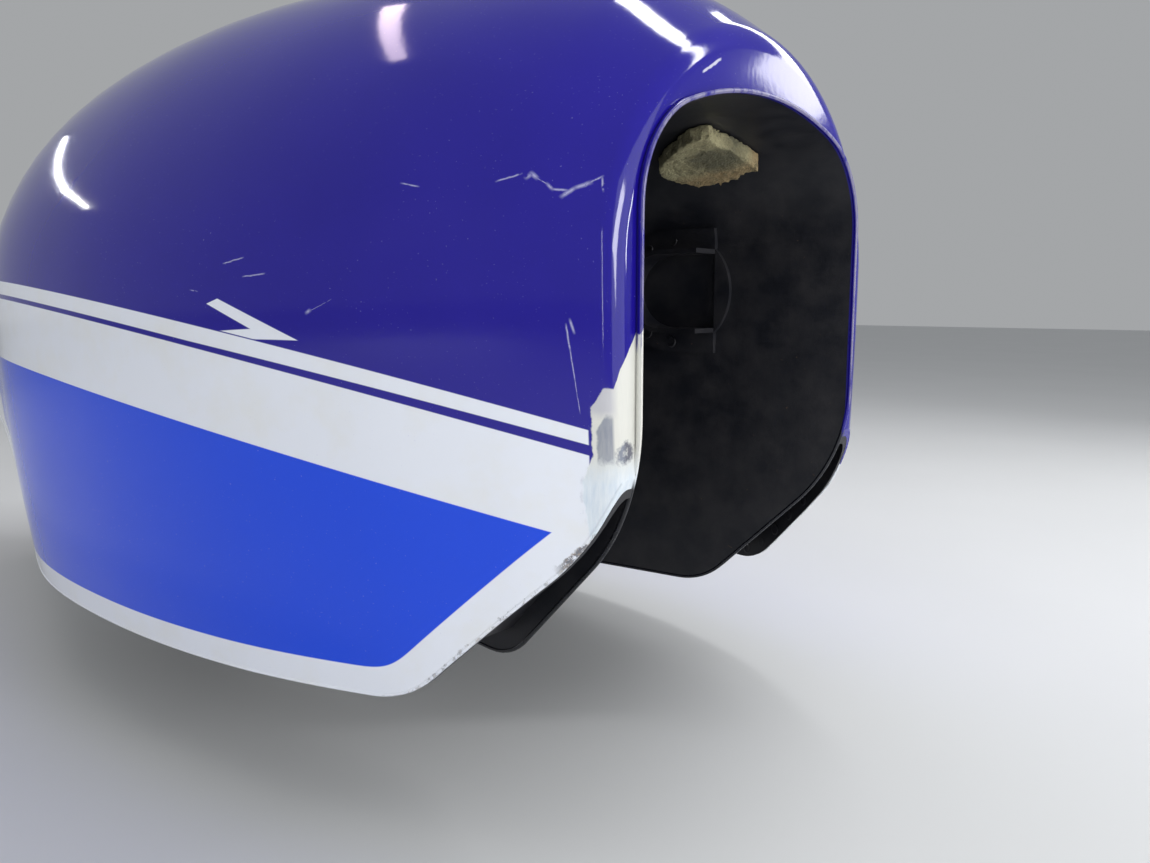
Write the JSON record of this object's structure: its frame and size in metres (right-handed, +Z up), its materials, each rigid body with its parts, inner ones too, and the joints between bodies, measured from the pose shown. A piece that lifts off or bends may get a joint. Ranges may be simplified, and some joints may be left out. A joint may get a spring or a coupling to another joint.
{
  "type": "motorcycle fuel tank",
  "caption": "Painted steel motorcycle fuel tank that straddles the frame, with a hinged filler cap, fuel tap, front guides and rubber-mounted rear bracket.",
  "frame": {"origin": "middle of the rear bolt's bore in the rear bracket's sleeve", "axes": "+X towards the front of the motorcycle, +Y to the rider's left, +Z up"},
  "size_m": [0.614, 0.302, 0.3072],
  "materials": {
    "paint": "deep violet-blue gloss paint with white and cobalt panels under clear coat, scratched, bare at the lower front corner",
    "underside_paint": "dark violet-blue paint, duller than outside",
    "zinc_plate": "zinc-plated steel",
    "chrome": "polished chrome plate",
    "steel": "plain steel",
    "brass": "worn brass",
    "matte_black": "matte black moulding",
    "rubber": "black rubber",
    "die_cast": "grey die-cast metal",
    "strainer_gauze": "fine brass gauze",
    "foam": "worn beige foam with ragged edges"
  },
  "bodies": {
    "tank": {"skin_left": "paint", "skin_right": "paint", "base_plate": "underside_paint", "filler_recess": "underside_paint", "filler_neck": "zinc_plate", "drain_pipe": "zinc_plate", "cap_ring": "chrome", "cap_hinge_pin": "steel", "tap_gasket": "rubber", "tap_body": "die_cast", "tap_strainer": "strainer_gauze", "tap_face_plate": "chrome", "tap_lever": "die_cast", "front_guide_left": "underside_paint", "front_guide_right": "underside_paint", "rear_bracket": "underside_paint", "rear_grommet": "rubber", "rear_sleeve": "zinc_plate", "tunnel_pad": "foam"},
    "filler_lid": {"cap_lid": "chrome", "cap_lock_barrel": "brass", "cap_plug": "matte_black", "cap_latch": "steel", "cap_seal": "rubber"}
  },
  "joints": [
    {"name": "cap_hinge", "type": "hinge", "parent": "tank", "child": "filler_lid", "pos_m": [0.427, 0, 0.128], "axis": [0, 1, 0], "range_deg": [0, 100]}
  ]
}
